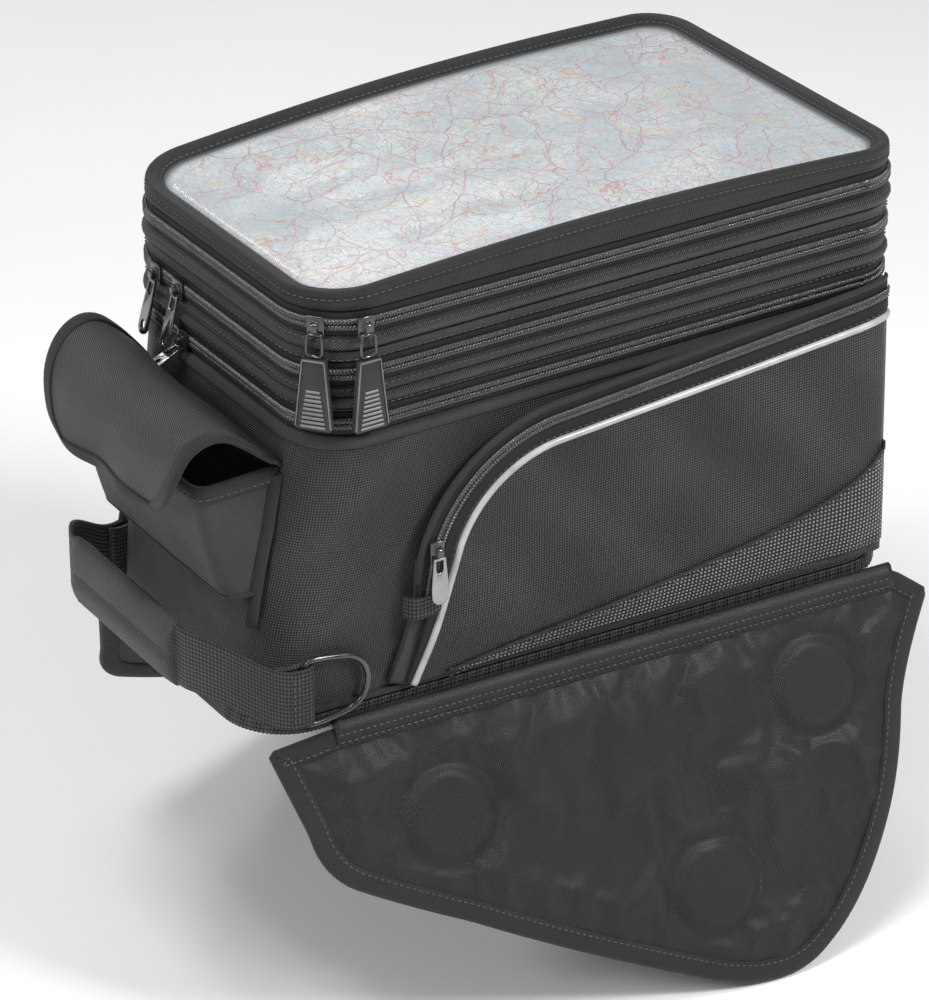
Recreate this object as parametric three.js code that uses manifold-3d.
// Motorcycle tank bag with two expansion rings, a map lid, side pockets, an end pouch,
// a padded carry handle and two magnetic flaps that drape over the tank.
// Millimetres, +Z up, +X from the handle end to the front end, -Y the right side.
// The origin is the centre of the underside that rests on the tank.
import * as THREE from 'three';
import { mergeVertices } from 'three/addons/utils/BufferGeometryUtils.js';
import Module from 'manifold-3d';

const wasm = await Module();
wasm.setup();

// ---------------------------------------------------------------- driving dimensions
const GAP = 0.3; // clearance between neighbouring pieces
const RAD = Math.PI / 180;

// The body's outline at a few heights: ends along x, half-widths at each end, corner radii.
const STATIONS = [
  { z: 0, rear: -233, front: 200, rearHalf: 89, frontHalf: 132, rearRadius: 40, frontRadius: 34 },
  { z: 70, rear: -225, front: 198, rearHalf: 95, frontHalf: 129, rearRadius: 40, frontRadius: 32 },
  { z: 130, rear: -211, front: 197, rearHalf: 100, frontHalf: 126, rearRadius: 40, frontRadius: 30 },
  { z: 195, rear: -201, front: 198, rearHalf: 105, frontHalf: 122.5, rearRadius: 40, frontRadius: 28 },
  { z: 300, rear: -200, front: 199, rearHalf: 105, frontHalf: 121, rearRadius: 40, frontRadius: 28 },
];

const WALL = 4; // padded wall thickness
const UNDERSIDE = 2; // anti-slip sheet
const BOARD_TOP = 8; // top of the stiff base board
const ZIP_LOWER = 200.75; // centre heights of the three zips that ring the bag
const ZIP_UPPER = 231.5;
const ZIP_LID = 262.25;
const ZIP_HALF = 7.2; // one zip half: tape plus its row of coil
const COIL = 1.8; // how far the coil stands out
const EXPANSION = 42; // height that each expansion gusset adds

const RIM_TOP = 280; // lid rim before its crown
const RIM_WIDTH = 14; // padded border of the lid round the window
const LID_CROWN = 8; // rise of the lid at mid-length
const WINDOW_Z = 274.2; // clear window, sunk below the rim

const POCKET_HINGE_Z = 17; // sewn lower edge of each side pocket
const POCKET_DEPTH = 10; // how far a side pocket stands off the wall
const POCKET_SKIN = 2.2;
const POCKET_ARC = { x: -42, z: 86, radius: 87 }; // rear corner of the pocket's zip
const POCKET_FRONT = 186;
const POCKET_FRONT_Z = 191; // height of the pocket's zip at the front seam

const FLAP_TILT = 25; // magnetic flap, degrees out from vertical
const FLAP_SKIN = 3;
const MAGNET_RADIUS = 29;
const MAGNET_THICK = 3.6;
const MAGNET_POCKET = 2.5; // how far a magnet's raised disc of cloth reaches past it
// Magnet centres: along the hinge, then down the flap.
const MAGNETS = { rear: [-129, 69], low: [33, 158], front: [125, 56] };

const WEBBING = 38;
const WEBBING_THICK = 2.4;
const HANDLE_X = -266;
const HANDLE_Z = 57;
const ANCHOR_Z = 31;
const SLEEVE_HALF = 58;

// ---------------------------------------------------------------- materials
const MATERIALS = {
  twill: { color: 0x2a2c2e, roughness: 0.9, metalness: 0 },
  plainWeave: { color: 0x232527, roughness: 0.85, metalness: 0 },
  binding: { color: 0x1c1d1f, roughness: 0.9, metalness: 0 },
  zipTape: { color: 0x17181a, roughness: 0.75, metalness: 0 },
  webbing: { color: 0x18191b, roughness: 0.8, metalness: 0 },
  board: { color: 0x303030, roughness: 0.8, metalness: 0 },
  antiSlip: { color: 0x1e1e1e, roughness: 0.95, metalness: 0 },
  film: { color: 0xdfe8ee, roughness: 0.08, metalness: 0 },
  paper: { color: 0xcdd9df, roughness: 0.7, metalness: 0 },
  blackMetal: { color: 0x141516, roughness: 0.3, metalness: 0.7 },
  nickel: { color: 0xb9bcc0, roughness: 0.28, metalness: 1 },
  rubber: { color: 0x202123, roughness: 0.65, metalness: 0 },
  reflective: { color: 0xb8bcc2, roughness: 0.35, metalness: 0.2 },
  magnet: { color: 0x4a4c50, roughness: 0.4, metalness: 0.8 },
};

function piece(name, material, geometry) {
  const mesh = new THREE.Mesh(geometry, new THREE.MeshStandardMaterial(MATERIALS[material]));
  mesh.name = name;
  return mesh;
}

// ---------------------------------------------------------------- solids
// Joins a row of equal loops of points into one closed solid. Without cap the row itself
// closes on its start; with cap, the loop's flat outline, both ends are filled in.
function loft(loops, cap = null) {
  const size = loops[0].length;
  const index = [];
  const rows = cap ? loops.length - 1 : loops.length;
  for (let i = 0; i < rows; i++) {
    const a = i * size;
    const b = ((i + 1) % loops.length) * size;
    for (let j = 0; j < size; j++) {
      const k = (j + 1) % size;
      index.push(a + j, b + j, b + k, a + j, b + k, a + k);
    }
  }
  if (cap) {
    const faces = THREE.ShapeUtils.triangulateShape(cap, []);
    const follows = (p, q) => (p + 1) % size === q;
    const inOrder = faces.some(([p, q, r]) => follows(p, q) || follows(q, r) || follows(r, p));
    const last = (loops.length - 1) * size;
    for (const face of faces) {
      const [p, q, r] = inOrder ? face : [face[2], face[1], face[0]];
      index.push(p, q, r, last + r, last + q, last + p);
    }
  }
  return outward(loops.flat(), index);
}

// A geometry whose faces point out, whichever way round its triangles were listed.
function outward(points, index) {
  let volume = 0;
  for (let i = 0; i < index.length; i += 3) {
    const [p, q, r] = [points[index[i]], points[index[i + 1]], points[index[i + 2]]];
    volume += p.dot(new THREE.Vector3().crossVectors(q, r));
  }
  const geometry = new THREE.BufferGeometry().setFromPoints(points);
  geometry.setIndex(volume < 0 ? index.slice().reverse() : index);
  return geometry;
}

// A skin between an inner and an outer face, both given by place(u, v, face), face 0 or 1.
function skin(columns, rows, place) {
  const loops = columns.map((u) => [
    ...rows.map((v) => place(u, v, 1)),
    ...rows.toReversed().map((v) => place(u, v, 0)),
  ]);
  const cap = [
    ...rows.map((v) => new THREE.Vector2(v, 1)),
    ...rows.toReversed().map((v) => new THREE.Vector2(v, 0)),
  ];
  return loft(loops, cap);
}

function toManifold(geometry) {
  const bare = geometry.clone();
  bare.deleteAttribute('normal');
  bare.deleteAttribute('uv');
  const merged = mergeVertices(bare, 1e-4);
  return new wasm.Manifold(new wasm.Mesh({
    numProp: 3,
    vertProperties: merged.attributes.position.array,
    triVerts: new Uint32Array(merged.index.array),
  }));
}

function toGeometry(solid) {
  const mesh = solid.getMesh();
  const geometry = new THREE.BufferGeometry();
  geometry.setAttribute('position', new THREE.BufferAttribute(mesh.vertProperties, 3));
  geometry.setIndex(new THREE.BufferAttribute(mesh.triVerts, 1));
  return geometry;
}

function extrude(shape, depth, curveSegments = 6) {
  return new THREE.ExtrudeGeometry(shape, { depth, bevelEnabled: false, curveSegments });
}

function steps(from, to, count) {
  return Array.from({ length: count + 1 }, (_, i) => from + ((to - from) * i) / count);
}

const mix = THREE.MathUtils.lerp;

// ---------------------------------------------------------------- the bag's outline
function section(z) {
  const i = Math.max(1, STATIONS.findIndex((s) => s.z >= z));
  const [low, high] = [STATIONS[i - 1], STATIONS[i]];
  const t = (z - low.z) / (high.z - low.z);
  return Object.fromEntries(Object.keys(low).map((key) => [key, mix(low[key], high[key], t)]));
}

// The right side's plan angle at a height: the bag is wider at the front.
function sideAngle(z) {
  const s = section(z);
  return Math.atan2(s.frontHalf - s.rearHalf, s.front - s.rear);
}

function halfWidth(x, z) {
  const s = section(z);
  return s.rearHalf + (x - s.rear) * Math.tan(sideAngle(z));
}

// Centre of a right-hand corner arc.
function cornerCentre(z, end) {
  const s = section(z);
  const radius = end === 'rear' ? s.rearRadius : s.frontRadius;
  const x = end === 'rear' ? s.rear + radius : s.front - radius;
  return { x, y: radius / Math.cos(sideAngle(z)) - halfWidth(x, z), radius };
}

// A point of the outline, inset inwards. The run goes 0 to 10 round the bag from the middle
// of the front end: front, corner, right side, corner, rear end, then the same on the left.
function outline(run, z, inset = 0) {
  if (run < 0 || run > 5) {
    const mirrored = outline(run < 0 ? -run : 10 - run, z, inset);
    return new THREE.Vector3(mirrored.x, -mirrored.y, z);
  }
  const s = section(z);
  const side = -Math.PI / 2 - sideAngle(z);
  const [front, rear] = [cornerCentre(z, 'front'), cornerCentre(z, 'rear')];
  const onArc = (centre, angle) => new THREE.Vector3(
    centre.x + (centre.radius - inset) * Math.cos(angle),
    centre.y + (centre.radius - inset) * Math.sin(angle),
    z,
  );
  if (run <= 1) {
    return new THREE.Vector3(s.front - inset, front.y * run, z);
  }
  if (run <= 2) {
    return onArc(front, side * (run - 1));
  }
  if (run <= 3) {
    return onArc(front, side).lerp(onArc(rear, side), run - 2);
  }
  if (run <= 4) {
    return onArc(rear, mix(side, -Math.PI, run - 3));
  }
  return new THREE.Vector3(s.rear + inset, rear.y * (5 - run), z);
}

// Where along the run the right side reaches x at height z.
function runAt(x, z) {
  const [front, rear] = [outline(2, z).x, outline(3, z).x];
  return 2 + (front - x) / (front - rear);
}

const HALF_RUN = [
  ...steps(0, 1, 1), ...steps(1, 2, 3).slice(1), ...steps(2, 3, 4).slice(1),
  ...steps(3, 4, 4).slice(1), ...steps(4, 5, 2).slice(1),
];
const FULL_RUN = [...HALF_RUN, ...HALF_RUN.slice(1, -1).map((run) => 10 - run).reverse()];

// Rise of the lid over its flat shape: crowned along the bag, zero at the ends.
function crown(p) {
  return LID_CROWN * Math.cos((Math.PI / 2) * THREE.MathUtils.clamp(p.x / 205, -1, 1));
}

function lifted(p, lift) {
  p.z += lift * crown(p);
  return p;
}

// A band round the whole bag with the section [inset, z], crowned where lift is 1.
function band(profile, lift = () => 0) {
  return loft(FULL_RUN.map((run) =>
    profile.map(([inset, z]) => lifted(outline(run, z, inset), lift(z)))));
}

// A band whose outline stays that of one height, so that it can slide straight up.
function straightBand(profile, outlineZ) {
  return loft(FULL_RUN.map((run) =>
    profile.map(([inset, z]) => outline(run, outlineZ, inset).setZ(z))));
}

// A wall between two runs, made of one or more height steps.
function wall(runs, heights, outer = 0, inner = WALL) {
  return skin(runs, heights, (run, z, face) => outline(run, z, face ? outer : inner));
}

// A plate over the whole plan, crowned where lift is 1.
function plate(inset, bottom, top, lift = 0) {
  const shrinks = lift ? [0.62, 0.3, 0] : [0];
  const ringAt = (z, shrink) => FULL_RUN.map((run) => {
    const p = outline(run, z, inset);
    p.x *= 1 - shrink;
    p.y *= 1 - shrink;
    return lifted(p, lift);
  });
  const cap = FULL_RUN.map((run) => {
    const p = outline(run, bottom, inset);
    return new THREE.Vector2(p.x, p.y);
  });
  const rings = [
    ...shrinks.map((s) => ringAt(bottom, s)),
    ...shrinks.toReversed().map((s) => ringAt(top, s)),
  ];
  return loft(rings, cap);
}

const bag = new THREE.Group();

// ---------------------------------------------------------------- base and walls
const WALL_BOTTOM = BOARD_TOP + GAP;
const WALL_TOP = ZIP_LOWER - ZIP_HALF - GAP - GAP;
const WALL_HEIGHTS = [WALL_BOTTOM, 38, 70, 100, 130, 162, WALL_TOP];
const REAR_SEAM = runAt(-146, 100); // where the rear wall's fabric meets the side walls
const FRONT_SEAM = 1.72; // the piped seam, on the front corner

function baseAndWalls() {
  const seam = 0.004; // gap between wall panels, as a share of a run
  const right = [FRONT_SEAM + seam, ...steps(2, REAR_SEAM - seam, 5)];
  bag.add(
    piece('base_underside', 'antiSlip', plate(3, 0, UNDERSIDE)),
    piece('base_board', 'board', plate(0, UNDERSIDE + GAP, BOARD_TOP)),
    piece('base_tape', 'webbing', band([[-2.2, 1], [-0.8, 1], [-0.8, 11.5], [-2.2, 11.5]])),
    piece('rear_wall', 'twill', wall(
      [REAR_SEAM, ...steps(3, 4, 5), 4.5, 5, 5.5, ...steps(6, 7, 5), 10 - REAR_SEAM], WALL_HEIGHTS)),
    piece('right_wall', 'plainWeave', wall(right, WALL_HEIGHTS)),
    piece('left_wall', 'plainWeave', wall(right.map((run) => 10 - run).reverse(), WALL_HEIGHTS)),
    piece('front_wall', 'twill', wall(
      [-FRONT_SEAM, -1.35, -1, 0, 1, 1.35, FRONT_SEAM].map((run) => run - seam * Math.sign(run)),
      WALL_HEIGHTS)),
  );
}

// ---------------------------------------------------------------- zips and expansion rings
// One half of a zip that rings the bag; side is -1 below the zip's centre line and 1 above it.
function zipHalf(centre, side, lift = () => 0) {
  const at = (offset) => centre + side * offset;
  return band([
    [2.6, at(ZIP_HALF)], [0.3, at(ZIP_HALF)], [0.3, at(3.8)],
    [-COIL, at(3.3)], [-COIL, at(GAP / 2)], [2.6, at(GAP / 2)],
  ], lift);
}

function ring(bottomZip, topZip) {
  const [low, high] = [bottomZip + ZIP_HALF + GAP, topZip - ZIP_HALF - GAP];
  const middle = (low + high) / 2;
  return band([[3.4, low], [0.2, low], [-0.9, middle], [0.2, high], [3.4, high]]);
}

// The gusset of an expansion ring: a sleeve sewn to the ring by its top hem, long enough
// to stay tucked in when the ring is raised.
function gusset(bottomZip, topZip, inset) {
  const [bottom, top] = [bottomZip - EXPANSION - 8, topZip - ZIP_HALF - 1];
  return straightBand([
    [inset, bottom], [inset, top - 3], [4.7, top - 3],
    [4.7, top], [inset + 1.4, top], [inset + 1.4, bottom],
  ], 200);
}

function expansionRings() {
  bag.add(
    piece('body_zip_half', 'zipTape', zipHalf(ZIP_LOWER, -1)),
    piece('mid_ring_zip_lower_half', 'zipTape', zipHalf(ZIP_LOWER, 1)),
    piece('mid_ring_band', 'twill', ring(ZIP_LOWER, ZIP_UPPER)),
    piece('mid_ring_zip_upper_half', 'zipTape', zipHalf(ZIP_UPPER, -1)),
    piece('mid_ring_gusset', 'plainWeave', gusset(ZIP_LOWER, ZIP_UPPER, 9.5)),
    piece('top_ring_zip_lower_half', 'zipTape', zipHalf(ZIP_UPPER, 1)),
    piece('top_ring_band', 'twill', ring(ZIP_UPPER, ZIP_LID)),
    piece('top_ring_zip_upper_half', 'zipTape', zipHalf(ZIP_LID, -1)),
    piece('top_ring_gusset', 'plainWeave', gusset(ZIP_UPPER, ZIP_LID, 12)),
  );
}

// ---------------------------------------------------------------- lid with map pocket
function lid() {
  const low = ZIP_LID + ZIP_HALF + GAP;
  const onTop = (z) => (z > low ? 1 : 0);
  bag.add(
    piece('lid_zip_half', 'zipTape', zipHalf(ZIP_LID, 1)),
    piece('lid_rim', 'binding', band([
      [RIM_WIDTH, low], [0.3, low], [-0.6, 275], [1, RIM_TOP],
      [4, RIM_TOP], [9, WINDOW_Z + 2.6], [RIM_WIDTH, WINDOW_Z + 1.4],
    ], onTop)),
    piece('lid_backing', 'twill', plate(RIM_WIDTH + GAP, low, low + 1.2, 1)),
    piece('map_sheet', 'paper', plate(17, low + 2.3, low + 3.1, 1)),
    piece('map_window', 'film', plate(RIM_WIDTH + GAP, WINDOW_Z, WINDOW_Z + 1.2, 1)),
  );
}

// ---------------------------------------------------------------- zip sliders and pulls
const HUMP = 8; // how far a slider's bridge stands off the fabric
const PULL_AXIS = { out: 5.8, drop: 4.3 }; // the pull's pivot from the zip's centre

// All hardware is drawn facing -Y, with the zip's centre line along X through the origin.
function sliderBody(width, height) {
  const side = new THREE.Shape([
    new THREE.Vector2(2.2, -height / 2), new THREE.Vector2(4.2, -height / 2),
    new THREE.Vector2(4.2, -3), new THREE.Vector2(HUMP - 1, -3), new THREE.Vector2(HUMP, -2),
    new THREE.Vector2(HUMP, 2), new THREE.Vector2(HUMP - 1, 3), new THREE.Vector2(4.2, 3),
    new THREE.Vector2(4.2, height / 2), new THREE.Vector2(2.2, height / 2),
  ]);
  const bridge = toManifold(extrude(side, 4).translate(0, 0, -2));
  const foot = new THREE.Shape([
    new THREE.Vector2(2.2, -height / 2), new THREE.Vector2(4.2, -height / 2),
    new THREE.Vector2(4.2, height / 2), new THREE.Vector2(2.2, height / 2),
  ]);
  const plateSolid = toManifold(extrude(foot, width).translate(0, 0, -width / 2));
  // (out, height, across) becomes x across, y inwards, z up.
  return toGeometry(bridge.add(plateSolid)).applyMatrix4(new THREE.Matrix4().set(
    0, 0, -1, 0,
    -1, 0, 0, 0,
    0, 1, 0, 0,
    0, 0, 0, 1,
  ));
}

// A flat tab hanging from its pivot at the origin, pierced so that it swings past the bridge.
function metalPull(width, length, tipHole) {
  const top = 0.8;
  const tab = new THREE.Shape();
  tab.moveTo(-width * 0.36, top);
  tab.lineTo(width * 0.36, top);
  tab.lineTo(width / 2, -length * 0.6);
  tab.absarc(0, top - length + width / 2, width / 2, 0, -Math.PI, true);
  tab.lineTo(-width / 2, -length * 0.6);
  tab.closePath();
  const eye = new THREE.Path();
  eye.moveTo(-2.4, -0.9);
  eye.lineTo(-2.4, -6.4);
  eye.absarc(0, -6.4, 2.4, Math.PI, Math.PI * 2, false);
  eye.lineTo(2.4, -0.9);
  tab.holes.push(eye);
  if (tipHole) {
    tab.holes.push(new THREE.Path().absellipse(0, top - length + width / 2 + 1.5, 2, 3, 0, Math.PI * 2));
  }
  return extrude(tab, 1.6, 4)
    .translate(0, 0, -0.8).rotateX(Math.PI / 2);
}

// A loop of round wire lying in the XZ plane: centre line points, wire radius.
function wireLoop(points, radius, sides = 6) {
  return loft(points.map((p, i) => {
    const before = points[(i + points.length - 1) % points.length];
    const after = points[(i + 1) % points.length];
    const along = new THREE.Vector2(after[0] - before[0], after[1] - before[1]).normalize();
    return steps(0, Math.PI * 2, sides).slice(0, -1).map((angle) => new THREE.Vector3(
      p[0] + radius * Math.cos(angle) * -along.y,
      radius * Math.sin(angle),
      p[1] + radius * Math.cos(angle) * along.x,
    ));
  }));
}

function bail() {
  return wireLoop([
    [-3.4, 0], [0, 0], [3.4, 0], [4.4, -1.4], [4.6, -6], [4.6, -11], [3.6, -13.4],
    [0, -13.4], [-3.6, -13.4], [-4.6, -11], [-4.6, -6], [-4.4, -1.4],
  ], 0.9);
}

function rubberPull() {
  const [top, bottom] = [-14.7, -58];
  const tab = new THREE.Shape();
  tab.moveTo(-7.2, top);
  tab.lineTo(7.2, top);
  tab.lineTo(11.2, bottom + 2);
  tab.lineTo(9.6, bottom);
  tab.lineTo(-9.6, bottom);
  tab.lineTo(-11.2, bottom + 2);
  tab.closePath();
  return extrude(tab, 4).translate(0, 0, -2).rotateX(Math.PI / 2);
}

// A slider and its pull at a place on a zip, facing the way given by yaw.
function zipHardware(at, yaw, slider, pullPieces, tilt = 0) {
  const site = new THREE.Group();
  site.position.copy(at);
  site.rotation.z = yaw;
  const pivot = new THREE.Group();
  pivot.position.set(0, -PULL_AXIS.out, -PULL_AXIS.drop);
  pivot.rotation.x = -tilt * RAD;
  pivot.add(...pullPieces);
  site.add(slider, pivot);
  bag.add(site);
}

// Turning -Y to face out of the outline at this point.
function facing(run, z) {
  const p = outline(run, z);
  const inner = outline(run, z, 1);
  return Math.atan2(p.x - inner.x, inner.y - p.y);
}

function lidSliders() {
  const sites = [
    { name: 'right', at: onSide(-171, ZIP_LID, 0), yaw: -sideAngle(ZIP_LID) },
    { name: 'left', at: outline(3.55, ZIP_LID), yaw: facing(3.55, ZIP_LID) },
  ];
  for (const { name, at, yaw } of sites) {
    zipHardware(
      at, yaw,
      piece(`lid_slider_${name}`, 'blackMetal', sliderBody(10, 12)),
      [piece(`lid_pull_bail_${name}`, 'blackMetal', bail()),
        piece(`lid_pull_${name}`, 'rubber', rubberPull())],
      2,
    );
  }
}

function expanderSliders() {
  const sites = [
    { name: 'upper_zip', hand: '_left', z: ZIP_UPPER, run: 5.93, tilt: 15, length: 34 },
    { name: 'upper_zip', hand: '_right', z: ZIP_UPPER, run: 5.56, tilt: 15, length: 34 },
    { name: 'lower_zip', hand: '', z: ZIP_LOWER, run: 5.5, tilt: 70, length: 23 },
  ];
  for (const { name, hand, z, run, tilt, length } of sites) {
    zipHardware(
      outline(run, z), facing(run, z),
      piece(`${name}_slider${hand}`, 'nickel', sliderBody(10, 12)),
      [piece(`${name}_pull${hand}`, 'nickel', metalPull(9, length, true))],
      tilt,
    );
  }
}

// ---------------------------------------------------------------- side pockets
function onSide(x, z, out) {
  return new THREE.Vector3(x, -halfWidth(x, z) - out, z);
}

// The pocket's zip, from its lower rear end round the corner to the front seam, pushed
// outwards by a margin. Share t runs 0 to 1.
function pocketEdge(t, margin = 0) {
  const { x, z, radius } = POCKET_ARC;
  const reach = radius + margin;
  const slope = (POCKET_FRONT_Z - (z + radius)) / (POCKET_FRONT - x);
  const turn = { start: 168, end: 90 + Math.atan(slope) / RAD };
  if (t < 0.15) {
    const foot = { x: -139 - 0.15 * margin, z: POCKET_HINGE_Z };
    const knee = { x: x + reach * Math.cos(turn.start * RAD), z: z + reach * Math.sin(turn.start * RAD) };
    return { x: mix(foot.x, knee.x, t / 0.15), z: mix(foot.z, knee.z, t / 0.15) };
  }
  if (t < 0.6) {
    const angle = mix(turn.start, turn.end, (t - 0.15) / 0.45) * RAD;
    return { x: x + reach * Math.cos(angle), z: z + reach * Math.sin(angle) };
  }
  const end = { x: x + reach * Math.cos(turn.end * RAD), z: z + reach * Math.sin(turn.end * RAD) };
  const share = (t - 0.6) / 0.4;
  return { x: mix(end.x, POCKET_FRONT, share), z: mix(end.z, POCKET_FRONT_Z + margin, share) };
}

// How far the pocket's outer face stands off the wall at a height.
function pocketBulge(z) {
  return mix(3.4, POCKET_DEPTH, THREE.MathUtils.smoothstep(z, POCKET_HINGE_Z - 20, POCKET_HINGE_Z + 45));
}

// A point of the pocket panel: t along the zip, v from the hinge (0) to the zip (1).
function pocketPoint(t, v, depth) {
  const edge = pocketEdge(t, -GAP);
  const footX = mix(-138, POCKET_FRONT, t ** 1.15);
  const z = mix(POCKET_HINGE_Z, edge.z, v);
  return onSide(mix(footX, edge.x, v), z, pocketBulge(z) - depth);
}

function sidePocket(hand) {
  const group = new THREE.Group();
  group.scale.y = hand === 'left' ? -1 : 1;
  const along = [0.015, 0.08, 0.15, 0.24, 0.33, 0.42, 0.51, 0.6, 0.7, 0.8, 0.9, 1];
  const up = [0, 0.17, 0.33, 0.66, 1];
  const panel = skin(along, up, (t, v, face) =>
    pocketPoint(t, v, face ? 0 : POCKET_SKIN));
  // The fixed half of the zip, standing on the wall just outside the panel's edge.
  const zipAlong = along.slice(2);
  const zip = skin(zipAlong, [0.2, 6], (t, margin, face) => {
    const edge = pocketEdge(t, margin);
    return onSide(edge.x, edge.z, face ? pocketBulge(edge.z) - margin * 0.7 : 0.7);
  });
  // Piping, sewn on the panel a little way in from the zip.
  const piping = skin(along, [-14.5, -11.5], (t, margin, face) => {
    const edge = pocketEdge(t, margin);
    return onSide(edge.x, edge.z, pocketBulge(edge.z) + (face ? 2.6 : 1));
  });
  group.add(
    piece(`pocket_panel_${hand}`, 'plainWeave', panel),
    piece(`pocket_zip_${hand}`, 'zipTape', zip),
    piece(`pocket_piping_${hand}`, 'reflective', piping),
  );
  const stop = pocketEdge(0.17, 2.5);
  const site = new THREE.Group();
  site.position.copy(onSide(stop.x, stop.z, POCKET_DEPTH - 1.2));
  site.rotation.z = -sideAngle(stop.z);
  const pivot = new THREE.Group();
  pivot.position.set(0, -PULL_AXIS.out, -PULL_AXIS.drop);
  pivot.rotation.x = -3 * RAD;
  pivot.add(piece(`pocket_pull_${hand}`, 'nickel', metalPull(11, 30, false)));
  site.add(piece(`pocket_slider_${hand}`, 'blackMetal', sliderBody(9, 12)), pivot);
  group.add(site);
  bag.add(group);
}

// ---------------------------------------------------------------- end pouch with hood and flap
const POUCH_HALF = 71;

// Turns a side profile (x, z) into a solid across the bag.
function across(profile, half) {
  const shape = new THREE.Shape(profile.map(([x, z]) => new THREE.Vector2(x, z)));
  return toManifold(extrude(shape, half * 2).translate(0, 0, -half)).rotate([90, 0, 0]);
}

function endPouch() {
  const rearX = (z, out) => section(z).rear - out;
  const outer = across([
    [rearX(86, 0.5), 86], [-241, 91], [-249, 120], [-258, 166],
    [rearX(166, 0.5), 166], [rearX(130, 0.5), 130],
  ], POUCH_HALF);
  const inner = across([
    [-190, 90], [-238.5, 94], [-246.5, 120], [-256, 170], [-190, 170],
  ], POUCH_HALF - 2.2);
  bag.add(piece('end_pouch', 'twill', toGeometry(outer.subtract(inner))));

  // The hood's centre line from the wall over the crest; the flap carries it on down.
  const hood = [[-205.6, 168], [-214, 174], [-227, 183], [-239.5, 190]];
  const flap = [[-241.5, 190.3], [-252, 190], [-262, 185], [-270, 174], [-274, 161], [-275, 148]];
  const thickness = 2.2;
  const sheet = (line, half, taper) => skin(line.map((_, i) => i), steps(-1, 1, 6), (i, v, face) => {
    const [x, z] = line[i];
    const [[ax, az], [bx, bz]] = [line[Math.max(0, i - 1)], line[Math.min(line.length - 1, i + 1)]];
    const normal = new THREE.Vector2(az - bz, bx - ax).normalize().multiplyScalar(face ? thickness : 0);
    const narrow = half - taper * Math.max(0, (i - 2) / (line.length - 3)) ** 2;
    return new THREE.Vector3(x + normal.x, v * narrow, z + normal.y);
  });
  bag.add(
    piece('end_pouch_hood', 'twill', sheet(hood, POUCH_HALF + 2, 0)),
    piece('end_pouch_flap', 'twill', sheet(flap, POUCH_HALF + 2, 38)),
  );
}

// ---------------------------------------------------------------- carry handle and D-rings
const RING_SITE = { x: -207, out: 5.1 };

// The strap's plan route on the right side, from the ring round to the sleeve.
const STRAP_ROUTE = [[-221, -91], [-239, -88], [-254, -80], [-263, -69], [HANDLE_X, -58]];

function strapBand(route, rise) {
  const half = WEBBING_THICK / 2;
  return skin(route.map((_, i) => i), [-WEBBING / 2, WEBBING / 2], (i, v, face) => {
    const [ax, ay] = route[Math.max(0, i - 1)];
    const [bx, by] = route[Math.min(route.length - 1, i + 1)];
    const side = new THREE.Vector2(by - ay, ax - bx).normalize().multiplyScalar(face ? half : -half);
    return new THREE.Vector3(route[i][0] + side.x, route[i][1] + side.y, rise(route[i][0]) + v);
  });
}

function carryHandle() {
  const rise = (x) => mix(ANCHOR_Z, HANDLE_Z, THREE.MathUtils.smoothstep(-x, 215, -HANDLE_X));
  const mirrored = STRAP_ROUTE.map(([x, y]) => [x, -y]).reverse();
  const strap = strapBand([...STRAP_ROUTE, ...mirrored], rise);
  const pad = new THREE.Shape();
  pad.absellipse(HANDLE_X, HANDLE_Z, 8.5, 22.5, 0, Math.PI * 2);
  const slot = new THREE.Shape([
    [-1.6, -19.5], [1.6, -19.5], [1.6, 19.5], [-1.6, 19.5],
  ].map(([x, z]) => new THREE.Vector2(HANDLE_X + x, HANDLE_Z + z)));
  const between = (shape, half) => {
    const bar = extrude(shape, half * 2, 4).translate(0, 0, -half);
    return toManifold(bar).rotate([90, 0, 0]);
  };
  const sleeve = between(pad, SLEEVE_HALF - 1).subtract(between(slot, SLEEVE_HALF));
  bag.add(
    piece('handle_webbing', 'webbing', strap),
    piece('handle_sleeve', 'twill', toGeometry(sleeve)),
  );
}

function ringAndAnchor(hand) {
  const group = new THREE.Group();
  group.scale.y = hand === 'left' ? -1 : 1;
  const angle = sideAngle(ANCHOR_Z);
  const site = new THREE.Group();
  site.position.copy(onSide(RING_SITE.x, ANCHOR_Z, RING_SITE.out));
  site.rotation.z = -angle;
  const half = WEBBING / 2 + 2.6;
  const bend = (degrees) => [20 + 21 * Math.cos(degrees * RAD), 21 * Math.sin(degrees * RAD)];
  site.add(piece(`d_ring_${hand}`, 'blackMetal', wireLoop([
    [0, half - 2], [0, 0], [0, 2 - half], [2, -half], [10, -half],
    ...[-60, -36, -12, 12, 36, 60].map(bend), [10, half], [2, half],
  ], 2.1, 8)));
  const anchor = strapBand([-213, -205, -197].map((x) => {
    const p = onSide(x, ANCHOR_Z, 1.5);
    return [p.x, p.y];
  }), () => ANCHOR_Z);
  group.add(site, piece(`handle_anchor_${hand}`, 'webbing', anchor));
  bag.add(group);
}

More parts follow.
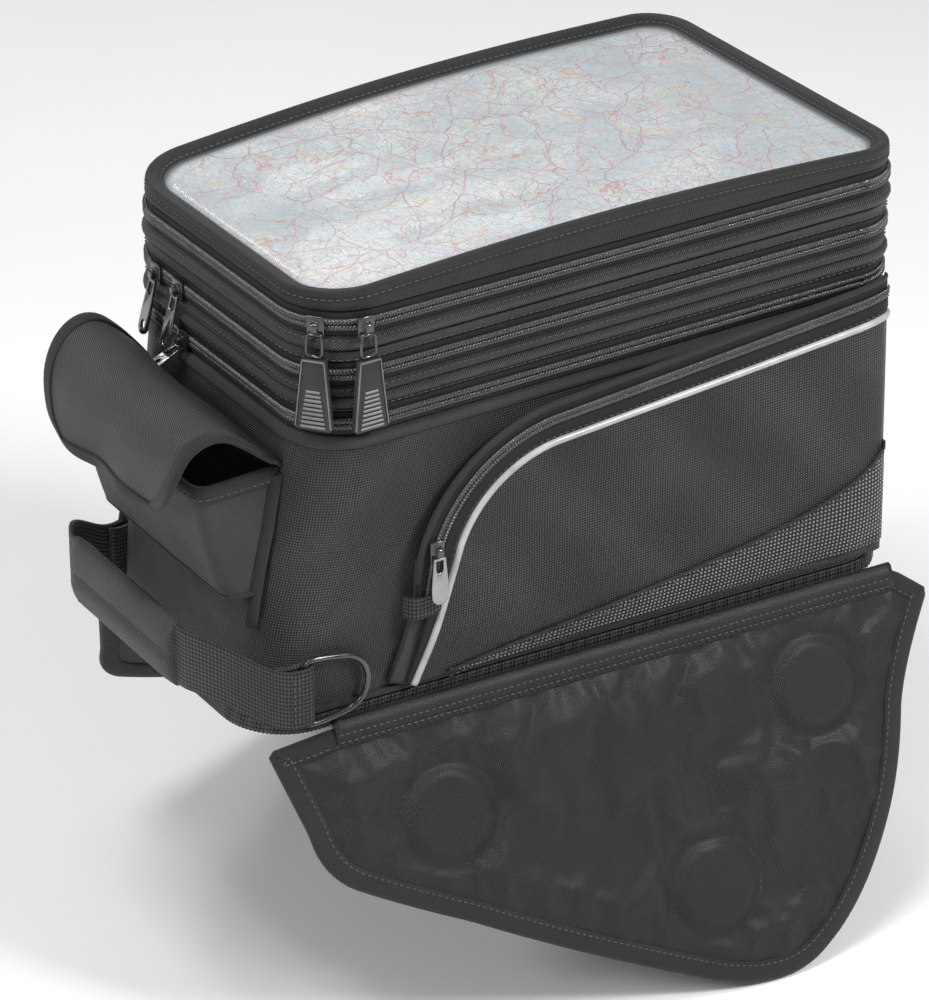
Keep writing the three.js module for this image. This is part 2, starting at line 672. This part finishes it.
// ---------------------------------------------------------------- magnetic flaps
// The flap's outline: x along the hinge, y up towards it.
function flapShape() {
  const shape = new THREE.Shape();
  shape.moveTo(-193, -3);
  shape.lineTo(194, -3);
  shape.lineTo(214, -19);
  shape.quadraticCurveTo(188, -60, 181, -84);
  shape.quadraticCurveTo(172, -125, 153, -156);
  shape.quadraticCurveTo(130, -195, 101, -213);
  shape.quadraticCurveTo(72, -234, 22, -213);
  shape.quadraticCurveTo(-60, -174, -128, -133);
  shape.quadraticCurveTo(-168, -112, -195, -95);
  shape.quadraticCurveTo(-214, -82, -216, -58);
  shape.lineTo(-231, -6);
  shape.closePath();
  return shape;
}

function disc(radius, x, y, from, to) {
  const circle = new THREE.Shape().absarc(x, y, radius, 0, Math.PI * 2);
  return toManifold(extrude(circle, to - from, 6).translate(0, 0, from));
}

function magneticFlap(hand) {
  const site = new THREE.Group();
  site.scale.y = hand === 'left' ? -1 : 1;
  const yaw = new THREE.Group();
  yaw.position.copy(onSide(0, 2, 4));
  yaw.rotation.z = -sideAngle(2);
  const tilt = new THREE.Group();
  tilt.rotation.x = (90 - FLAP_TILT) * RAD;
  let body = toManifold(extrude(flapShape(), FLAP_SKIN, 5));
  for (const [name, [x, down]] of Object.entries(MAGNETS)) {
    body = body.add(disc(MAGNET_RADIUS + MAGNET_POCKET, x, -down, 0.1, MAGNET_THICK + 2.4));
    body = body.subtract(disc(MAGNET_RADIUS + GAP, x, -down, -1, MAGNET_THICK + 0.6));
    tilt.add(piece(`flap_magnet_${name}_${hand}`, 'magnet',
      toGeometry(disc(MAGNET_RADIUS, x, -down, 0.3, MAGNET_THICK + 0.3))));
  }
  tilt.add(piece(`magnetic_flap_${hand}`, 'twill', toGeometry(body)));
  yaw.add(tilt);
  site.add(yaw);
  bag.add(site);
}

baseAndWalls();
expansionRings();
lid();
lidSliders();
expanderSliders();
endPouch();
carryHandle();
for (const hand of ['right', 'left']) {
  sidePocket(hand);
  ringAndAnchor(hand);
  magneticFlap(hand);
}

export default bag;
